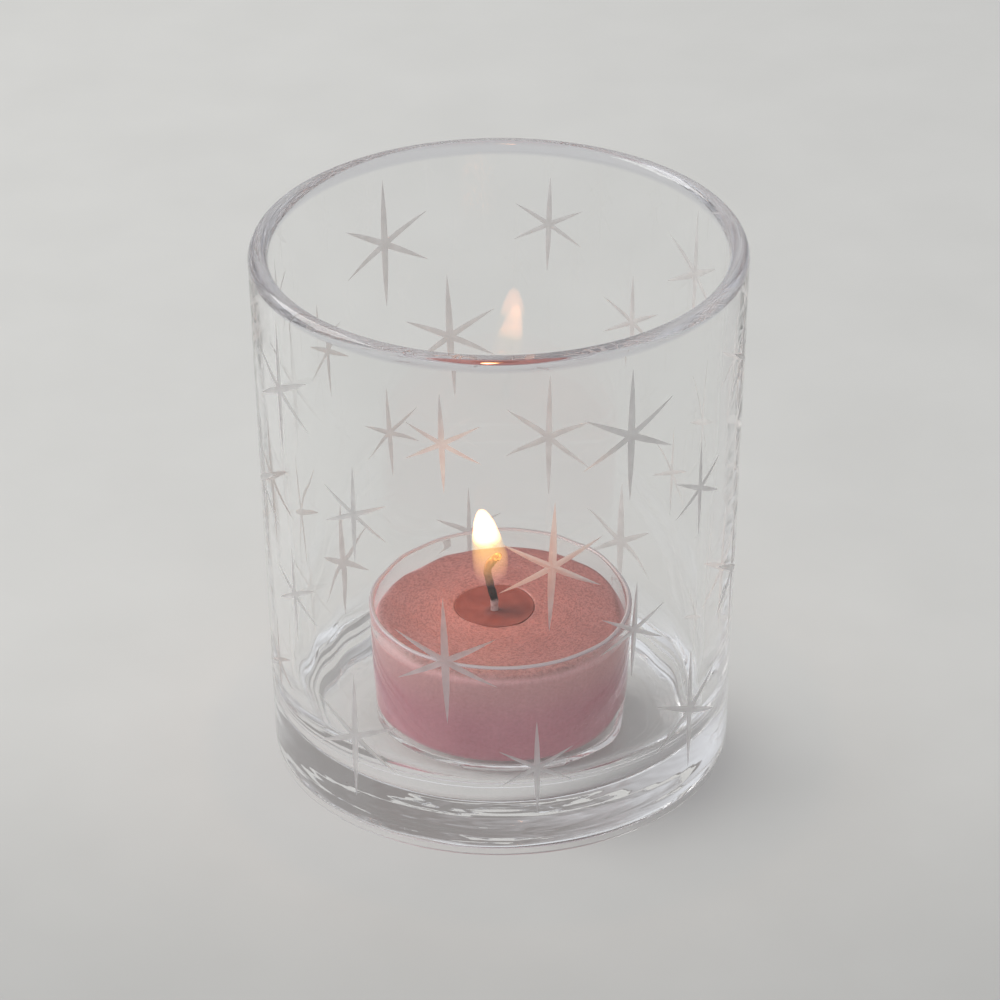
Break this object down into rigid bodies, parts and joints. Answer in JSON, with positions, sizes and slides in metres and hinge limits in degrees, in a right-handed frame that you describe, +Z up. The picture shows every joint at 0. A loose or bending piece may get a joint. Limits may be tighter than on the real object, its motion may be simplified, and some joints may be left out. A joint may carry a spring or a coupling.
{
  "type": "tealight holder",
  "caption": "Clear thick-walled glass tumbler cut with large and small six-ray stars, holding a lift-out tealight in a clear plastic cup with a wax block, wick and molten pool.",
  "frame": {"origin": "centre of the ring on which the glass stands, on the surface it rests on", "axes": "+Z up along the glass's axis; -Y is the front, towards which the tealight stands a little off centre"},
  "size_m": [0.071, 0.071, 0.082],
  "materials": {
    "clear_glass": "polished, with matt wheel-cut stars",
    "clear_cup": "clear moulded plastic",
    "rose_wax": "pearly, softly sheened",
    "molten_wax": "wet",
    "wick_cotton": "charred braid",
    "tinned_steel": "bright tin plate"
  },
  "bodies": {
    "glass": {"glass_body": "clear_glass"},
    "tealight": {"tealight_cup": "clear_cup"},
    "candle": {"wax": "rose_wax", "melt_pool": "molten_wax", "wick": "wick_cotton", "wick_sustainer": "tinned_steel"}
  },
  "joints": [
    {"name": "tealight_lift", "type": "slide", "parent": "glass", "child": "tealight", "axis": [0, 0, 1], "range_m": [0, 0.085]},
    {"name": "candle_lift", "type": "slide", "parent": "tealight", "child": "candle", "axis": [0, 0, 1], "range_m": [0, 0.022]}
  ]
}
